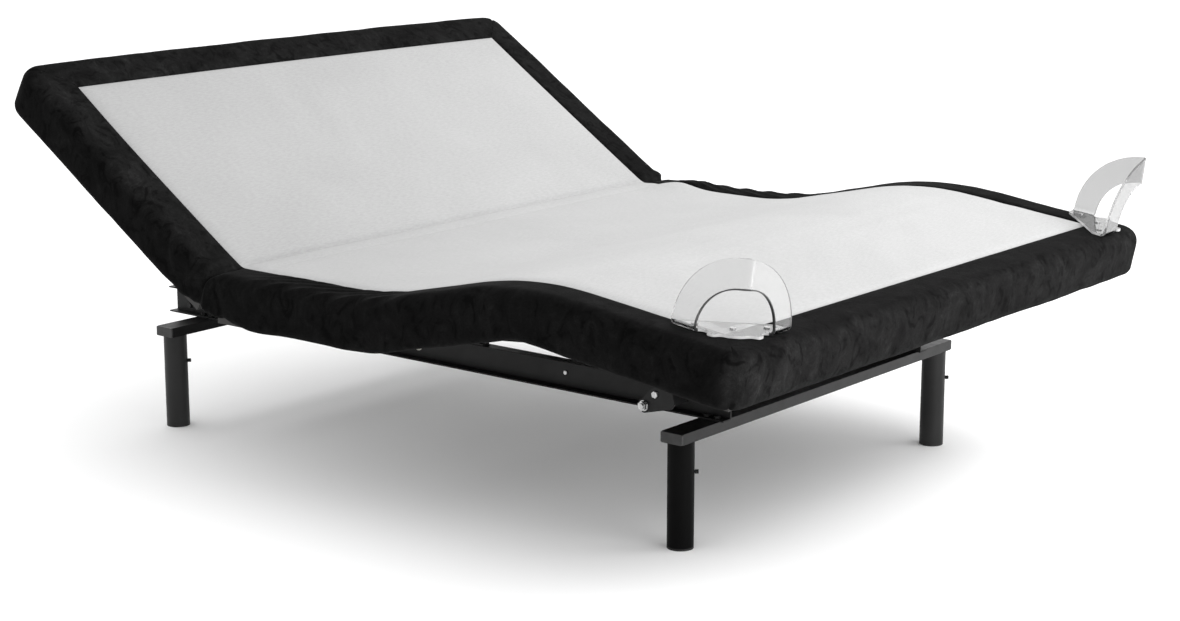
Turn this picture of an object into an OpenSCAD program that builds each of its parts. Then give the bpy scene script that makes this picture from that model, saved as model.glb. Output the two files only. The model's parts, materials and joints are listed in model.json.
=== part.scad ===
// Adjustable bed base: a steel frame on four legs carries four upholstered deck sections.
// Rest pose: head section raised, knee slightly raised. X is across the bed, Y runs foot to head.
// The origin is on the floor, below the middle of the bed.

/* [Pose] */
// Tilt of the head section in degrees above flat
head_angle = 33.5; // [30:0.5:36]
// Tilt of the thigh section in degrees above flat
thigh_angle = 13; // [12:0.5:14]

/* [Deck] */
// Width over the padded border
deck_w = 1510; // [1480:10:1560]
// Thickness of a deck section from its underside to its top
deck_t = 104; // [100:1:110]
// Height of the flat deck's underside above the floor
deck_bottom = 343; // [340:1:350]
// Width of the padded border seen from above
border_w = 94; // [80:2:110]
// Length of the head section from its hinge to its end
head_len = 680; // [640:10:720]
// Length of the seat section between its two hinges
seat_len = 413; // [405:1:420]
// Length of the thigh section between its hinges, laid flat
thigh_len = 354; // [350:1:358]
// Length of the calf section from the knee hinge to the foot end
calf_len = 489; // [480:1:500]
// Thickness of the plywood deck boards
board_t = 15; // [12:1:16]
// Thickness of the foam over the boards
foam_t = 15; // [12:1:18]

/* [Frame] */
// Diameter of a leg
leg_d = 50.8; // [40:0.1:55]
// Height of the underside of the crossbeams
leg_h = 206; // [200:1:230]
// Distance of a leg from the middle line
leg_x = 455; // [440:5:460]
// Distance between the foot legs and the head legs
leg_span = 1386; // [1380:2:1400]
// Depth of a crossbeam along the bed
beam_w = 49; // [46:1:50]
// Height of a crossbeam
beam_h = 21; // [20:1:22]
// Length of a crossbeam over its end caps
beam_len = 972; // [960:4:980]
// Height of a side rail channel
rail_h = 58; // [56:1:60]
// Distance of a rail's flange edges from the middle line
rail_x = 368; // [366:1:370]
// Width of a rail's flanges
rail_flange = 23; // [20:1:26]
// Sheet thickness of the rails
rail_t = 3; // [2.5:0.5:3.5]

/* [Lift] */
// Distance of the lift arms and lift links from the middle line
arm_x = 200; // [180:5:220]
// Distance from a section's hinge to its lift bracket, head section
head_arm = 300; // [280:5:310]
// Distance from a section's hinge to its lift bracket, thigh section
thigh_arm = 230; // [220:5:235]
// Diameter of the torque tubes
tube_d = 34; // [30:1:36]
// Height of the actuator pins above the torque tube axes
lever_h = 84; // [80:1:86]

/* [Retainers] */
// Thickness of the clear sheet of the mattress retainers
sheet_t = 5; // [4:0.5:6]
// Height of a retainer above the deck
retainer_h = 149; // [131:2:169]
// Width of a retainer's arch band
band_w = 50; // [38:2:52]

/* [Hidden] */
$fn = 48;

// The calf section slopes down 7 degrees for each 13 degrees of thigh tilt.
calf_angle = thigh_angle * 7 / 13;
sides = [-1, 1];

// Heights
beam_top = leg_h + beam_h;
rail_top = beam_top + rail_h;
deck_top = deck_bottom + deck_t;
hinge_z = deck_top - foam_t + 2;
hinge_drop = hinge_z - deck_bottom;

// Places along the bed
foot_leg_y = -601;
head_leg_y = foot_leg_y + leg_span;
thigh_hinge_y = -72;
head_hinge_y = thigh_hinge_y + seat_len;
knee_dy = thigh_len * cos(thigh_angle) + hinge_drop * sin(thigh_angle);
knee_dz = thigh_len * sin(thigh_angle) - hinge_drop * cos(thigh_angle);
knee_y = thigh_hinge_y - knee_dy;
knee_z = hinge_z + knee_dz;
clip_rivet_y = -237;
control_x = 330;
control_y = 183;

// Section build-up, measured from the underside
board_z = deck_t - foam_t - board_t;
padding_t = 20;
edge_r = 25;
corner_r = 50;
board_w = deck_w - 2 * padding_t;
foam_w = deck_w - 2 * border_w;
wood_t = 18;
wood_gap = 2;
board_gap = 0.2;
hinge_gap = 6;
soft_gap = 13;
knee_gap = 4;

// Hinges
hinge_xs = [-560, -190, 190, 560];
hinge_w = 120;
knuckle_r = 5;
pin_r = 2.5;
leaf_t = 2;
leaf_len = 34;

// Lift linkage: each arm runs parallel to its section, and each link keeps its direction
arm_drop = 32;
arm_t = 8;
link_pin_r = 6;
fit = 0.05;
head_tube_y = head_hinge_y;
tube_z = 256;
knee_tube_y = 158;
rail_inner_x = rail_x - rail_flange - rail_t;
link_x = arm_x + arm_t / 2 + 2;
link_t = 6;
lever_slot_r = 91;
lever_top = 106;

// Actuators
rod_r = 10;
actuator_z = tube_z + lever_h;
knee_member_y = -342;
head_member_y = 708;
member_w = 40;
member_z = 236;
head_lever_angle = 3.5;
knee_lever_angle = 3;
head_pin_y = head_tube_y - lever_h * tan(head_lever_angle);
knee_pin_y = knee_tube_y - lever_h * tan(knee_lever_angle);
rod_pin_r = 5;
fork_depth = 27;
fork_root = 31;
lever_half_w = 13;
head_reach = head_member_y - head_pin_y;
knee_reach = knee_pin_y - knee_member_y;
head_tube_back = 94;
knee_tube_back = 68;

// Foot links
link_pivot_y = -488;
link_pivot_z = 247;
link_len = 175.6;
link_angle = 14.51;
link_bolt_r = 6;
link_pin_reach = 236.5;
link_pin_drop = 108.7;
link_pin2_r = 5;
link_play = 3.8;
link_plate_x = rail_x + 6;
ear_x = rail_x + 48;

// Retainers: the corner of each base plate from the knee axis, left one first
retainer_x = [700, 735];
retainer_y = [456, 475];
retainer_reach = 148;
base_z = deck_t + 0.3;

// Place children in a section's own frame: origin on the hinge axis, Y along the section
module in_head() {
    translate([0, head_hinge_y, hinge_z]) rotate([head_angle, 0, 0]) children();
}
module in_thigh() {
    translate([0, thigh_hinge_y, hinge_z]) rotate([-thigh_angle, 0, 0]) children();
}
module in_calf() {
    translate([0, knee_y, knee_z]) rotate([calf_angle, 0, 0]) children();
}
// Place children in the foot links' frame: origin on the rail pivot, -Y towards the calf bracket
module in_foot_link() {
    translate([0, link_pivot_y, link_pivot_z]) rotate([-link_angle, 0, 0]) children();
}
module on_both_sides() {
    children();
    mirror([1, 0, 0]) children();
}
module box_at(x0, x1, y0, y1, z0, z1) {
    translate([x0, y0, z0]) cube([x1 - x0, y1 - y0, z1 - z0]);
}
// Cylinder along X from x0 to x1
module rod_x(r, x0, x1) {
    translate([x0, 0, 0]) rotate([0, 90, 0]) cylinder(r = r, h = x1 - x0);
}
// Cylinder along Y from y0 to y1
module rod_y(r, y0, y1) {
    translate([0, y1, 0]) rotate([90, 0, 0]) cylinder(r = r, h = y1 - y0);
}
module hex_x(r, x0, x1) {
    translate([x0, 0, 0]) rotate([0, 90, 0]) cylinder(r = r, h = x1 - x0, $fn = 6);
}
// Outline in the YZ plane, thickened along X from x0 to x1
module plate_yz(x0, x1) {
    translate([x0, 0, 0]) rotate([90, 0, 90]) linear_extrude(x1 - x0) children();
}
// Rounded rectangle with its own radius on each corner, as circles and bars
module rounded_rect(w, h, r) {
    translate([0, h / 2]) {
        square([w - 2 * r, h], center = true);
        square([w, h - 2 * r], center = true);
        for (x = sides, y = sides) translate([x * (w / 2 - r), y * (h / 2 - r)]) circle(r);
    }
}

// ---- Deck sections -------------------------------------------------------

// Padding along both long edges between y0 and y1; z0 is the underside's height
module side_padding(y0, y1, z0) {
    translate([0, y1, z0]) rotate([90, 0, 0]) linear_extrude(y1 - y0) difference() {
        rounded_rect(deck_w, deck_t, edge_r);
        translate([-board_w / 2, -1]) square([board_w, deck_t - foam_t + 1.3]);
        translate([-foam_w / 2, 1]) square([foam_w, deck_t]);
    }
}
// Padding round a free end; the section ends at +len, and z0 is the underside's height
module end_padding(len, z0) {
    translate([0, 0, z0]) difference() {
        intersection() {
            translate([-deck_w / 2, 0, 0]) rotate([90, 0, 90]) linear_extrude(deck_w) {
                translate([len - 2 * border_w, 0]) square([2 * border_w - edge_r, deck_t]);
                translate([len - 2 * border_w, edge_r])
                    square([2 * border_w, deck_t - 2 * edge_r]);
                for (z = [edge_r, deck_t - edge_r]) translate([len - edge_r, z]) circle(edge_r);
            }
            translate([0, len, 0]) rotate([90, 0, 0]) linear_extrude(border_w)
                rounded_rect(deck_w, deck_t, edge_r);
            linear_extrude(deck_t) union() {
                translate([-deck_w / 2, 0]) square([deck_w, len - corner_r]);
                translate([-deck_w / 2 + corner_r, 0]) square([deck_w - 2 * corner_r, len]);
                for (x = sides) translate([x * (deck_w / 2 - corner_r), len - corner_r])
                    circle(corner_r);
            }
        }
        box_at(-board_w / 2, board_w / 2, 0, len - padding_t, -1, deck_t - foam_t + 0.3);
    }
}
module deck_board(y0, y1, z0) {
    box_at(-board_w / 2, board_w / 2, y0, y1, z0 + board_z, z0 + board_z + board_t);
}
// Foam with shallow pockets over the hinge leaves that lie on the board at each listed end
module foam_slab(y0, y1, z0, leaf_ends) {
    z = z0 + deck_t - foam_t;
    difference() {
        box_at(-foam_w / 2 + 0.3, foam_w / 2 - 0.3, y0, y1, z, z0 + deck_t);
        for (y = leaf_ends, x = hinge_xs)
            box_at(x - hinge_w / 2 - 1, x + hinge_w / 2 + 1, y - leaf_len, y + leaf_len,
                z - 1, z + leaf_t + 0.4);
    }
}
// A board along each side, standing under the deck board
module side_boards(y0, y1, z0) {
    for (s = sides) {
        x = s * (board_w / 2 - wood_t / 2);
        box_at(x - wood_t / 2, x + wood_t / 2, y0, y1, z0 + wood_gap, z0 + board_z);
    }
}
// A board across the section between the side boards, standing under the deck board
module cross_board(y0, z0) {
    w = board_w / 2 - wood_t - board_gap;
    box_at(-w, w, y0, y0 + wood_t, z0 + wood_gap, z0 + board_z);
}

module seat_deck_board() {
    color("#b08d5b")
        deck_board(thigh_hinge_y + hinge_gap, head_hinge_y - hinge_gap, deck_bottom);
}
module seat_side_boards() {
    color("#a5824f")
        side_boards(thigh_hinge_y + hinge_gap, head_hinge_y - hinge_gap, deck_bottom);
}
module seat_foam() {
    color("#d9d9d9")
        foam_slab(thigh_hinge_y + soft_gap, head_hinge_y - soft_gap, deck_bottom,
            [thigh_hinge_y, head_hinge_y]);
}
module seat_side_padding() {
    color("#1c1c1e")
        side_padding(thigh_hinge_y + soft_gap, head_hinge_y - soft_gap, deck_bottom);
}
module head_deck_board() {
    color("#b08d5b") in_head() deck_board(hinge_gap, head_len - padding_t, -hinge_drop);
}
module head_frame_boards() {
    color("#a5824f") in_head() {
        side_boards(hinge_gap, head_len - padding_t, -hinge_drop);
        cross_board(head_len - padding_t - wood_t, -hinge_drop);
    }
}
module head_foam() {
    color("#d9d9d9") in_head() foam_slab(soft_gap, head_len - border_w - 0.3, -hinge_drop, [0]);
}
module head_side_padding() {
    color("#1c1c1e") in_head() side_padding(soft_gap, head_len - border_w - 0.3, -hinge_drop);
}
module head_end_padding() {
    color("#1c1c1e") in_head() end_padding(head_len, -hinge_drop);
}
module thigh_deck_board() {
    color("#b08d5b") in_thigh() deck_board(-thigh_len + knee_gap, -hinge_gap, -hinge_drop);
}
module thigh_frame_boards() {
    color("#a5824f") in_thigh() {
        side_boards(-thigh_len + knee_gap, -hinge_gap, -hinge_drop);
        cross_board(-thigh_len + knuckle_r + 1.5, -hinge_drop);
    }
}
module thigh_foam() {
    color("#d9d9d9") in_thigh() foam_slab(-thigh_len + knee_gap, -soft_gap, -hinge_drop, [0]);
}
module thigh_side_padding() {
    color("#1c1c1e") in_thigh() side_padding(-thigh_len + knee_gap, -soft_gap, -hinge_drop);
}
module calf_deck_board() {
    color("#b08d5b") in_calf() deck_board(-calf_len + padding_t, -knee_gap, 0);
}
module calf_frame_boards() {
    color("#a5824f") in_calf() {
        side_boards(-calf_len + padding_t, -knee_gap, 0);
        cross_board(-knuckle_r - 1.5 - wood_t, 0);
        cross_board(-calf_len + padding_t, 0);
    }
}
module calf_foam() {
    color("#d9d9d9") in_calf() foam_slab(-calf_len + border_w + 0.3, -knee_gap, 0, []);
}
module calf_side_padding() {
    color("#1c1c1e") in_calf() side_padding(-calf_len + border_w + 0.3, -knee_gap, 0);
}
module calf_end_padding() {
    color("#1c1c1e") in_calf() mirror([0, 1, 0]) end_padding(calf_len, 0);
}

// ---- Hinges --------------------------------------------------------------

// Leaf on the +Y side of a hinge axis at the origin, with two of the five knuckles, or three
module hinge_leaf(outer) {
    step = hinge_w / 5;
    for (x = hinge_xs) translate([x - hinge_w / 2, 0, 0]) difference() {
        union() {
            box_at(0, hinge_w, knuckle_r + 1, leaf_len, -leaf_t, 0);
            for (i = outer ? [0, 2, 4] : [1, 3]) {
                x0 = i * step + 0.3;
                x1 = x0 + step - 0.6;
                rod_x(knuckle_r, x0, x1);
                box_at(x0, x1, 0, knuckle_r + 2, -leaf_t, 0);
            }
        }
        rod_x(pin_r + fit, -1, hinge_w + 1);
    }
}
module hinge_pins() {
    for (x = hinge_xs) translate([x - hinge_w / 2, 0, 0]) {
        rod_x(pin_r, -2, hinge_w + 2);
        rod_x(pin_r + 1.5, -4, -1);
        rod_x(pin_r + 1.5, hinge_w + 1, hinge_w + 4);
    }
}
module seat_hinge_leaves() {
    color("#3a3a3c") {
        translate([0, head_hinge_y, hinge_z]) mirror([0, 1, 0]) hinge_leaf(true);
        translate([0, thigh_hinge_y, hinge_z]) hinge_leaf(true);
    }
}
module head_hinge_leaves() {
    color("#3a3a3c") in_head() hinge_leaf(false);
}
module thigh_hinge_leaves() {
    color("#3a3a3c") in_thigh() {
        mirror([0, 1, 0]) hinge_leaf(false);
        translate([0, -thigh_len, -hinge_drop]) mirror([0, 0, 1]) hinge_leaf(true);
    }
}
module calf_hinge_leaves() {
    color("#3a3a3c") in_calf() mirror([0, 1, 0]) mirror([0, 0, 1]) hinge_leaf(false);
}
module deck_hinge_pins() {
    color("#8e8e92") {
        translate([0, head_hinge_y, hinge_z]) hinge_pins();
        translate([0, thigh_hinge_y, hinge_z]) hinge_pins();
    }
}
module knee_hinge_pins() {
    color("#8e8e92") in_calf() hinge_pins();
}

// ---- Fixed frame ---------------------------------------------------------

// Left side rail: a channel with its flanges outwards and the boss for the foot link's bolt
module left_rail() {
    y0 = foot_leg_y - 33;
    y1 = head_leg_y + 114;
    web_x = -rail_x + rail_flange;
    difference() {
        union() {
            box_at(web_x, web_x + rail_t, y0, y1, beam_top, rail_top);
            box_at(-rail_x, web_x + rail_t, y0, y1, beam_top, beam_top + rail_t);
            box_at(-rail_x, web_x + rail_t, y0, y1, rail_top - rail_t, rail_top);
            translate([0, link_pivot_y, link_pivot_z]) rod_x(13, -rail_x - 5, web_x + 1);
        }
        translate([0, link_pivot_y, link_pivot_z])
            rod_x(link_bolt_r + fit, -rail_x - 10, web_x + 10);
        for (y = [head_tube_y, knee_tube_y]) translate([0, y, tube_z])
            rod_x(13, web_x - 10, web_x + 10);
        for (y = [foot_leg_y, head_leg_y], d = [-12, 12])
            translate([-rail_x + 10, y + d, beam_top - 5]) cylinder(r = 4.3, h = 20);
        translate([0, head_leg_y + 69, beam_top + 41]) rod_x(3, web_x - 10, web_x + 10);
        translate([0, head_leg_y + 70, beam_top + 16]) rod_x(4.1, web_x - 10, web_x + 10);
    }
}
module rail_left() {
    color("#2b2b2d") left_rail();
}
module rail_right() {
    color("#2b2b2d") mirror([1, 0, 0]) left_rail();
}
module crossbeam(y) {
    wall = 2;
    half = beam_len / 2 - 4;
    difference() {
        box_at(-half, half, y - beam_w / 2, y + beam_w / 2, leg_h, beam_top);
        box_at(-half - 1, half + 1, y - beam_w / 2 + wall, y + beam_w / 2 - wall,
            leg_h + wall, beam_top - wall);
        for (x = sides) translate([x * leg_x, y, leg_h - 1]) cylinder(r = 5.5, h = 6);
        for (x = sides, d = [-12, 12])
            translate([x * (rail_x - 10), y + d, beam_top - 6]) cylinder(r = 4.3, h = 10);
    }
}
module foot_crossbeam() {
    color("#3d3d3f") crossbeam(foot_leg_y);
}
module head_crossbeam() {
    color("#2b2b2d") crossbeam(head_leg_y);
}
module crossbeam_end_caps() {
    color("#47474a") for (y = [foot_leg_y, head_leg_y], s = sides)
        translate([s * beam_len / 2, y, leg_h]) {
            rotate([90, 0, 90 * s]) translate([0, 0, -4]) linear_extrude(4)
                rounded_rect(beam_w, beam_h, 3);
            translate([-s * 11, 0, beam_h / 2]) cube([14, beam_w - 4.4, beam_h - 4.4], center = true);
        }
}
module leg() {
    wall = 1.6;
    top_t = 5;
    difference() {
        translate([0, 0, 4]) cylinder(d = leg_d, h = leg_h - 4, $fn = 96);
        translate([0, 0, 3]) cylinder(r = leg_d / 2 - wall, h = leg_h - 3 - top_t, $fn = 96);
        cylinder(r = 5 + fit, h = leg_h + 1);
        rotate([0, 0, -51.5]) translate([0, 0, 147]) rod_x(2.5 + fit, leg_d / 2 - 5, leg_d);
    }
}
module leg_foot_left() {
    color("#1a1a1c") translate([-leg_x, foot_leg_y, 0]) leg();
}
module leg_foot_right() {
    color("#1a1a1c") translate([leg_x, foot_leg_y, 0]) leg();
}
module leg_head_left() {
    color("#2b2b2d") translate([-leg_x, head_leg_y, 0]) leg();
}
module leg_head_right() {
    color("#2b2b2d") translate([leg_x, head_leg_y, 0]) leg();
}
module at_legs() {
    for (x = sides, y = [foot_leg_y, head_leg_y]) translate([x * leg_x, y, 0]) children();
}
module leg_glides() {
    color("#111113") at_legs() {
        cylinder(d = leg_d, h = 4, $fn = 96);
        translate([0, 0, 3.5]) cylinder(r = leg_d / 2 - 1.7, h = 12, $fn = 96);
    }
}
module leg_studs() {
    color("#8e8e92") at_legs() {
        translate([0, 0, leg_h - 22]) cylinder(r = 5, h = 34);
        translate([0, 0, leg_h + 2]) cylinder(r = 9, h = 7, $fn = 6);
    }
}
module leg_lock_screws() {
    color("#111113") at_legs() rotate([0, 0, -51.5]) translate([0, 0, 147]) {
        rod_x(2.5, leg_d / 2 - 3, leg_d / 2 + 4);
        rod_x(4, leg_d / 2 + 0.5, leg_d / 2 + 7.5);
    }
}
module rail_bolts() {
    web_x = rail_x - rail_flange;
    color("#8e8e92") {
        for (s = sides, y = [foot_leg_y, head_leg_y], d = [-12, 12])
            translate([s * (rail_x - 10), y + d, beam_top]) {
                translate([0, 0, -9]) cylinder(r = 4, h = 14);
                translate([0, 0, rail_t]) cylinder(r = 6.5, h = 5, $fn = 6);
                translate([0, 0, -8]) cylinder(r = 6.5, h = 6, $fn = 6);
            }
        on_both_sides() translate([0, head_leg_y + 70, beam_top + 16]) {
            rod_x(4, -web_x - 3, -web_x + rail_t + 4);
            rod_x(6, -web_x - 5, -web_x);
            hex_x(6.5, -web_x + rail_t, -web_x + rail_t + 5);
        }
        on_both_sides() translate([0, clip_rivet_y, beam_top + 30]) rod_x(4, -web_x - 2.5, -web_x);
    }
}
// Two cross tubes, each on two posts with foot plates, that carry the seat section
module seat_subframe() {
    tube = 30;
    z0 = deck_bottom + board_z - tube;
    half = board_w / 2 - wood_t - 3;
    color("#222224") for (y = [thigh_hinge_y + 48, head_hinge_y - 48]) {
        difference() {
            box_at(-half, half, y - tube / 2, y + tube / 2, z0, z0 + tube);
            box_at(-half - 1, half + 1, y - tube / 2 + 2, y + tube / 2 - 2, z0 + 2, z0 + tube - 2);
        }
        for (s = sides) {
            x = s * (rail_x - rail_flange / 2);
            box_at(x - 10, x + 10, y - 15, y + 15, rail_top, rail_top + 4);
            box_at(x - 9, x + 9, y - 2.5, y + 2.5, rail_top + 4, z0 - fit);
        }
    }
}
// Square tubes between the rails, each with the two ears of an actuator's rear pivot
module actuator_crossmembers() {
    ear_t = 5;
    half = rail_inner_x;
    color("#222224") for (y = [knee_member_y, head_member_y]) {
        difference() {
            box_at(-half, half, y - member_w / 2, y + member_w / 2, member_z, member_z + member_w);
            box_at(-half - 1, half + 1, y - member_w / 2 + 2, y + member_w / 2 - 2,
                member_z + 2, member_z + member_w - 2);
        }
        for (s = sides) translate([0, y, 0]) difference() {
            plate_yz(s * 17 - ear_t / 2, s * 17 + ear_t / 2) union() {
                translate([-18, member_z + member_w + fit])
                    square([36, actuator_z - member_z - member_w - fit]);
                translate([0, actuator_z]) circle(18);
            }
            translate([0, 0, actuator_z]) rod_x(8 + fit, -30, 30);
        }
    }
}
module torque_tube_bushes() {
    web_x = rail_x - rail_flange;
    color("#d8d6cf") for (y = [head_tube_y, knee_tube_y]) translate([0, y, tube_z])
        on_both_sides() difference() {
            union() {
                rod_x(13 - fit, -web_x, -web_x + rail_t);
                rod_x(17, -web_x + rail_t, -web_x + rail_t + 3);
            }
            rod_x(10 + fit, -web_x - 1, -web_x + rail_t + 4);
        }
}
// Hollow electronics box under the seat board, with two fixing tabs and the inlet's cut-out
module control_box() {
    color("#1a1a1c") translate([control_x, control_y, deck_bottom + board_z]) difference() {
        union() {
            box_at(-90, 90, -55, 55, -48, 0);
            box_at(-102, 102, -25, 25, -4, 0);
        }
        box_at(-87, 87, -52, 52, -45, -3);
        box_at(-14, 14, 51, 56, -36, -14);
    }
}
module power_inlet() {
    color("#0f0f10") translate([control_x, control_y, deck_bottom + board_z]) difference() {
        union() {
            box_at(-13.8, 13.8, 39, 55, -35.8, -14.2);
            box_at(-19, 19, 55, 57, -41, -9);
        }
        box_at(-11, 11, 42, 58, -33, -17);
    }
}

// ---- Actuators -----------------------------------------------------------

// Gearbox and motor; the rear pin is at the origin and the rod leaves along +Y
module actuator_motor() {
    difference() {
        union() {
            box_at(-12, 12, -14, 30, -14, 14);
            rod_x(8, -26, 26);
            box_at(-28, 28, 28, 92, -26, 26);
            translate([0, 60, -118]) cylinder(r = 26, h = 96);
            translate([0, 60, -122]) cylinder(r = 21, h = 5);
        }
        rod_y(14, 84, 93);
    }
}
// Outer tube with the bore that the rod slides in
module actuator_tube(len) {
    difference() {
        union() {
            rod_y(20, 92, len);
            rod_y(14 - fit, 85, 93);
            rod_y(22, len - 14, len - 2);
        }
        rod_y(rod_r + fit, 96, len + 1);
    }
}
// Rod with its fork and cross pin; the pin is at the origin and the tube lies towards -Y
module actuator_rod(len) {
    rod_y(rod_r, -len, -fork_root);
    difference() {
        union() {
            rod_y(12, -fork_root - 3, -fork_root);
            box_at(-9, 9, -fork_root, 0, -11, 11);
            rod_x(11, -9, 9);
        }
        box_at(-3.8, 3.8, -fork_depth, 20, -15, 15);
    }
    rod_x(rod_pin_r, -13, 13);
    rod_x(rod_pin_r + 2.5, -13, -9);
    rod_x(rod_pin_r + 2.5, 9, 13);
}
module at_head_actuator() {
    translate([0, head_member_y, actuator_z]) mirror([0, 1, 0]) children();
}
module at_knee_actuator() {
    translate([0, knee_member_y, actuator_z]) children();
}
module head_actuator_motor() {
    color("#1a1a1c") at_head_actuator() actuator_motor();
}
module head_actuator_tube() {
    color("#47474a") at_head_actuator() actuator_tube(head_reach - head_tube_back);
}
module knee_actuator_motor() {
    color("#1a1a1c") at_knee_actuator() actuator_motor();
}
module knee_actuator_tube() {
    color("#47474a") at_knee_actuator() actuator_tube(knee_reach - knee_tube_back);
}
module head_actuator_rod() {
    color("#c8c8cc") at_head_actuator() translate([0, head_reach, 0]) actuator_rod(190);
}
module knee_actuator_rod() {
    color("#c8c8cc") at_knee_actuator() translate([0, knee_reach, 0]) actuator_rod(180);
}

// ---- Lift arms, links and brackets --------------------------------------

// Flat bar in the YZ plane between two round ends, thickened from x0 to x1
module eye_bar(ya, za, ra, yb, zb, rb, x0, x1, half_w) {
    len = norm([yb - ya, zb - za]);
    turn = atan2(zb - za, yb - ya);
    plate_yz(x0, x1) union() {
        translate([ya, za]) rotate(turn) translate([0, -half_w]) square([len, 2 * half_w]);
        translate([ya, za]) circle(ra);
        translate([yb, zb]) circle(rb);
    }
}
// Torque tube with two arms and the slotted lever pressed on; an arm's eye is at (reach, -arm_drop)
// and dir is +1 or -1
module torque_tube(reach, dir, tilt, lever_turn) {
    stub_end = rail_x - rail_flange + 1;
    tube_end = rail_inner_x - 5;
    seat_r = tube_d / 2 + fit;
    difference() {
        rod_x(tube_d / 2, -tube_end, tube_end);
        rod_x(tube_d / 2 - 2.5, -tube_end + 12, tube_end - 12);
    }
    on_both_sides() rod_x(10, -stub_end, -tube_end + 1);
    rotate([tilt, 0, 0]) on_both_sides() difference() {
        eye_bar(0, 0, 24, dir * reach, -arm_drop, 15, -arm_x - arm_t / 2, -arm_x + arm_t / 2, 13);
        translate([0, dir * reach, -arm_drop]) rod_x(link_pin_r + fit, -arm_x - 20, -arm_x + 20);
        rod_x(seat_r, -arm_x - 20, -arm_x + 20);
    }
    rotate([lever_turn, 0, 0]) difference() {
        plate_yz(-3.5, 3.5) union() {
            translate([-lever_half_w, 0]) square([2 * lever_half_w, lever_top]);
            circle(26);
            translate([0, lever_top]) circle(lever_half_w);
        }
        rod_x(seat_r, -10, 10);
        lever_slot();
    }
}
// Radial slot for the rod pin, with room for the pin's own path
module lever_slot() {
    half_w = rod_pin_r + 2.3;
    half_len = 8;
    box_at(-10, 10, -half_w, half_w, lever_slot_r - half_len, lever_slot_r + half_len);
    for (z = sides) translate([0, 0, lever_slot_r + z * half_len]) rod_x(half_w, -10, 10);
}
module head_torque_tube() {
    color("#2b2b2d") translate([0, head_tube_y, tube_z])
        torque_tube(head_arm, 1, head_angle, head_lever_angle);
}
module knee_torque_tube() {
    color("#2b2b2d") translate([0, knee_tube_y, tube_z])
        torque_tube(thigh_arm, -1, -thigh_angle, knee_lever_angle);
}
// Link beside an arm, from the arm's eye up to the section's bracket, with its two pins
module lift_link(dy, dz) {
    on_both_sides() {
        eye_bar(0, 0, 12, dy, dz, 12, -link_x - link_t, -link_x, 9);
        for (p = [[0, 0], [dy, dz]]) translate([0, p[0], p[1]]) {
            rod_x(link_pin_r, -link_x - 1, -arm_x + arm_t / 2 + 5);
            rod_x(9, -arm_x + arm_t / 2 + 1, -arm_x + arm_t / 2 + 5);
        }
    }
}
// Eye of an arm at rest, relative to its torque tube
function arm_end(reach, dir, tilt) = [
    dir * reach * cos(tilt) + arm_drop * sin(tilt),
    dir * reach * sin(tilt) - arm_drop * cos(tilt)];
head_arm_end = arm_end(head_arm, 1, head_angle);
knee_arm_end = arm_end(thigh_arm, -1, -thigh_angle);
module head_lift_links() {
    color("#3a3a3c") translate([0, head_tube_y + head_arm_end[0], tube_z + head_arm_end[1]])
        lift_link(head_hinge_y - head_tube_y, hinge_z - tube_z);
}
module knee_lift_links() {
    color("#3a3a3c") translate([0, knee_tube_y + knee_arm_end[0], tube_z + knee_arm_end[1]])
        lift_link(thigh_hinge_y - knee_tube_y, hinge_z - tube_z);
}
// Brackets under a deck board that take the links' upper pins
module lift_brackets(reach, dir) {
    board_under = board_z - hinge_drop;
    on_both_sides() difference() {
        union() {
            box_at(-arm_x - 30, -arm_x + 30, dir * reach - 26, dir * reach + 26,
                board_under - 3, board_under);
            box_at(-arm_x - arm_t / 2, -arm_x + arm_t / 2, dir * reach - 15, dir * reach + 15,
                -arm_drop, board_under - 3);
            translate([0, dir * reach, -arm_drop])
                rod_x(15, -arm_x - arm_t / 2, -arm_x + arm_t / 2);
        }
        translate([0, dir * reach, -arm_drop])
            rod_x(link_pin_r + 0.4, -arm_x - 10, -arm_x + 10);
        translate([0, dir * reach, -arm_drop])
            rod_x(13.5, -arm_x - 34, -arm_x - arm_t / 2 - 1);
    }
}
module head_lift_brackets() {
    color("#3a3a3c") in_head() lift_brackets(head_arm, 1);
}
module thigh_lift_brackets() {
    color("#3a3a3c") in_thigh() lift_brackets(thigh_arm, -1);
}

// ---- Foot links ----------------------------------------------------------

module foot_link_bolts() {
    web_x = rail_x - rail_flange;
    color("#d0d0d4") translate([0, link_pivot_y, link_pivot_z]) on_both_sides() {
        rod_x(link_bolt_r, -ear_x - 16, -web_x + rail_t + 8);
        rod_x(10.5, -ear_x - 6.5, -ear_x - 4.5);
        hex_x(9.5, -ear_x - 13, -ear_x - 6.5);
        hex_x(9.5, -web_x + rail_t, -web_x + rail_t + 7);
    }
}
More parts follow.
